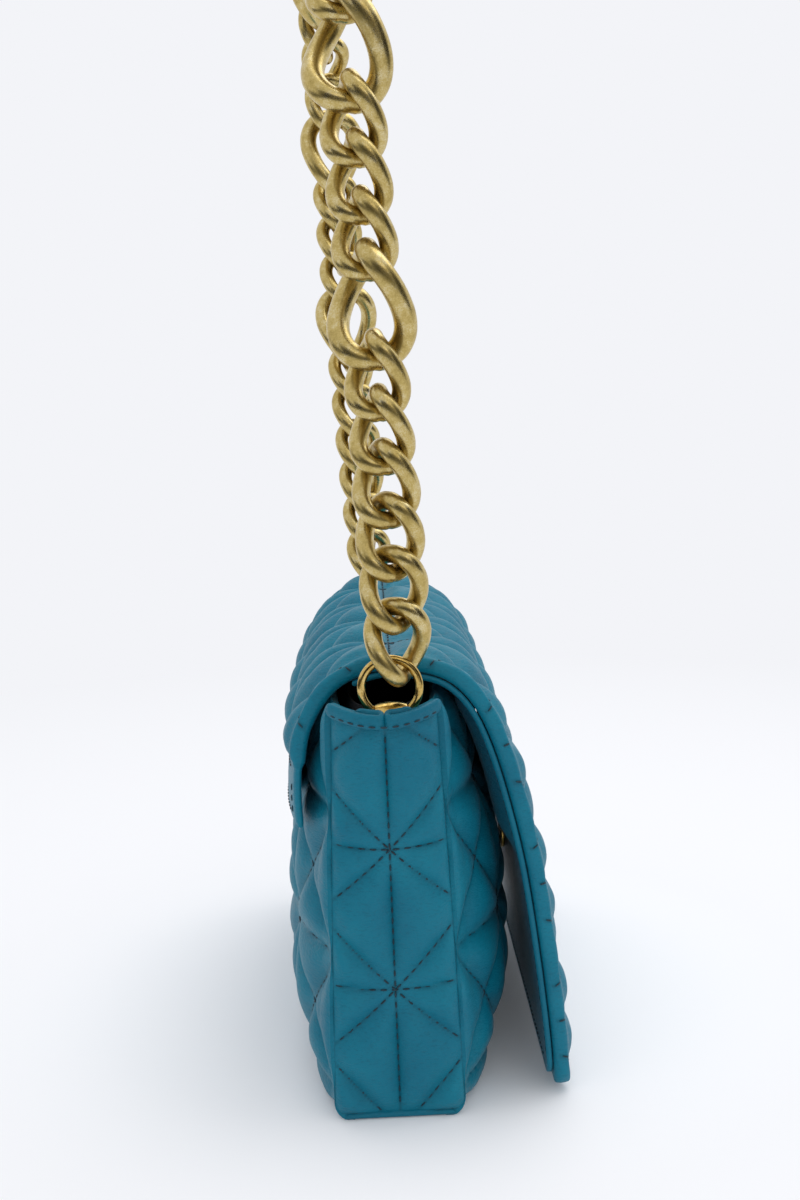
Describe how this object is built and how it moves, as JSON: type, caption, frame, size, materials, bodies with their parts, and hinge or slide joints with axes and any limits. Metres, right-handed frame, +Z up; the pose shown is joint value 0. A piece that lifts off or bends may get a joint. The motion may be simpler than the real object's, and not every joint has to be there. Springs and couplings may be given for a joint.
{
  "type": "chain shoulder bag",
  "caption": "Quilted leather shoulder bag with a long front flap, a magnetic snap and a heavy curb-chain strap on two rings.",
  "frame": {"origin": "middle of the base's underside, between the gussets", "axes": "+X along the bag, the flap's front faces -Y, +Z up towards the strap"},
  "size_m": [0.2858, 0.1122, 0.5261],
  "materials": {
    "quilted_leather": "soft, satin, quilted",
    "smooth_leather": "smooth, satin",
    "lining": "woven, matt",
    "board": "pressed fibre, matt",
    "gold_metal": "polished",
    "aged_gold": "gold plated, worn satin"
  },
  "bodies": {
    "bag": {"front_panel": "quilted_leather", "back_panel": "quilted_leather", "left_gusset": "quilted_leather", "right_gusset": "quilted_leather", "base_panel": "smooth_leather", "base_board": "board", "lining": "lining", "slip_pocket": "lining", "flap_strip": "quilted_leather", "snap_socket": "gold_metal", "left_tab": "smooth_leather", "right_tab": "smooth_leather", "left_ring_sleeve": "gold_metal", "right_ring_sleeve": "gold_metal"},
    "flap": {"flap_panel": "quilted_leather", "flap_facing": "smooth_leather", "snap_stud": "gold_metal"},
    "strap": {"left_ring": "gold_metal", "right_ring": "gold_metal", "link_01": "aged_gold", "link_02": "aged_gold", "link_03": "aged_gold", "link_04": "aged_gold", "link_05": "aged_gold", "link_06": "aged_gold", "link_07": "aged_gold", "link_08": "aged_gold", "link_09": "aged_gold", "link_10": "aged_gold", "link_11": "aged_gold", "link_12": "aged_gold", "link_13": "aged_gold", "link_14": "aged_gold", "link_15": "aged_gold", "link_16": "aged_gold", "link_17": "aged_gold", "link_18": "aged_gold", "link_19": "aged_gold", "link_20": "aged_gold", "link_21": "aged_gold", "link_22": "aged_gold", "link_23": "aged_gold", "link_24": "aged_gold", "link_25": "aged_gold", "link_26": "aged_gold", "link_27": "aged_gold", "link_28": "aged_gold", "link_29": "aged_gold", "link_30": "aged_gold", "link_31": "aged_gold", "link_32": "aged_gold", "link_33": "aged_gold", "link_34": "aged_gold", "link_35": "aged_gold", "link_36": "aged_gold", "link_37": "aged_gold"}
  },
  "joints": [
    {"name": "flap_fold", "type": "hinge", "parent": "bag", "child": "flap", "pos_m": [0, 0.0276, 0.173], "axis": [-1, 0, 0], "range_deg": [-1.2, 150]},
    {"name": "strap_swing", "type": "hinge", "parent": "bag", "child": "strap", "pos_m": [0, -0.0028, 0.1755], "axis": [1, 0, 0], "range_deg": [-60, 60]}
  ]
}
